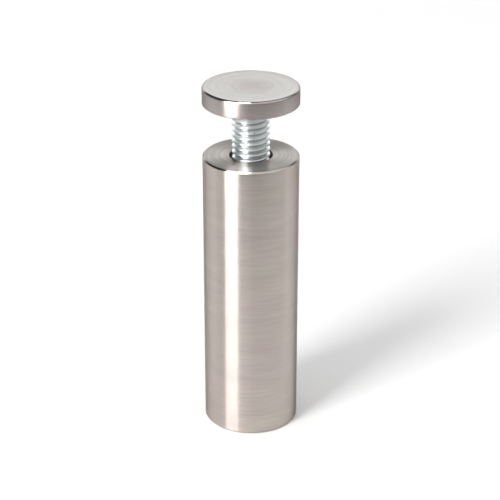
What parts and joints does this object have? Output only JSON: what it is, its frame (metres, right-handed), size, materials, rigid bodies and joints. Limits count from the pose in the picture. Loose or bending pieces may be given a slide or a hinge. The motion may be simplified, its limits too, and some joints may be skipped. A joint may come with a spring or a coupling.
{
  "type": "glass panel standoff",
  "caption": "Round metal standoff: a long barrel, a threaded stud and a flat disc cap that screws down to clamp a glass pane away from a wall.",
  "frame": {"origin": "centre of the barrel's wall face, on which the standoff stands", "axes": "+Z along the axis of the barrel, from the wall towards the glass and the cap; the part is round, so +X and +Y are any two directions square to it"},
  "size_m": [0.025, 0.025, 0.0946],
  "materials": {
    "barrel_steel": "turned stainless steel, brushed round the axis, with a faced end",
    "stud_zinc": "bright zinc plating on a rolled thread",
    "cap_steel": "turned stainless steel, brushed round the edge, with a finely brushed top"
  },
  "bodies": {
    "barrel": {"barrel": "barrel_steel"},
    "stud": {"stud": "stud_zinc"},
    "cap": {"cap": "cap_steel"}
  },
  "joints": [
    {"name": "stud_travel", "type": "slide", "parent": "barrel", "child": "stud", "axis": [0, 0, 1], "range_m": [-0.0135, 0.012]},
    {"name": "cap_turn", "type": "hinge", "parent": "stud", "child": "cap", "pos_m": [0, 0, 0.09], "axis": [0, 0, 1], "range_deg": [-3240, 2880]}
  ],
  "couplings": [
    {"joint": "stud_travel", "follows": "cap_turn", "m_per_rad": 0.00023873}
  ]
}
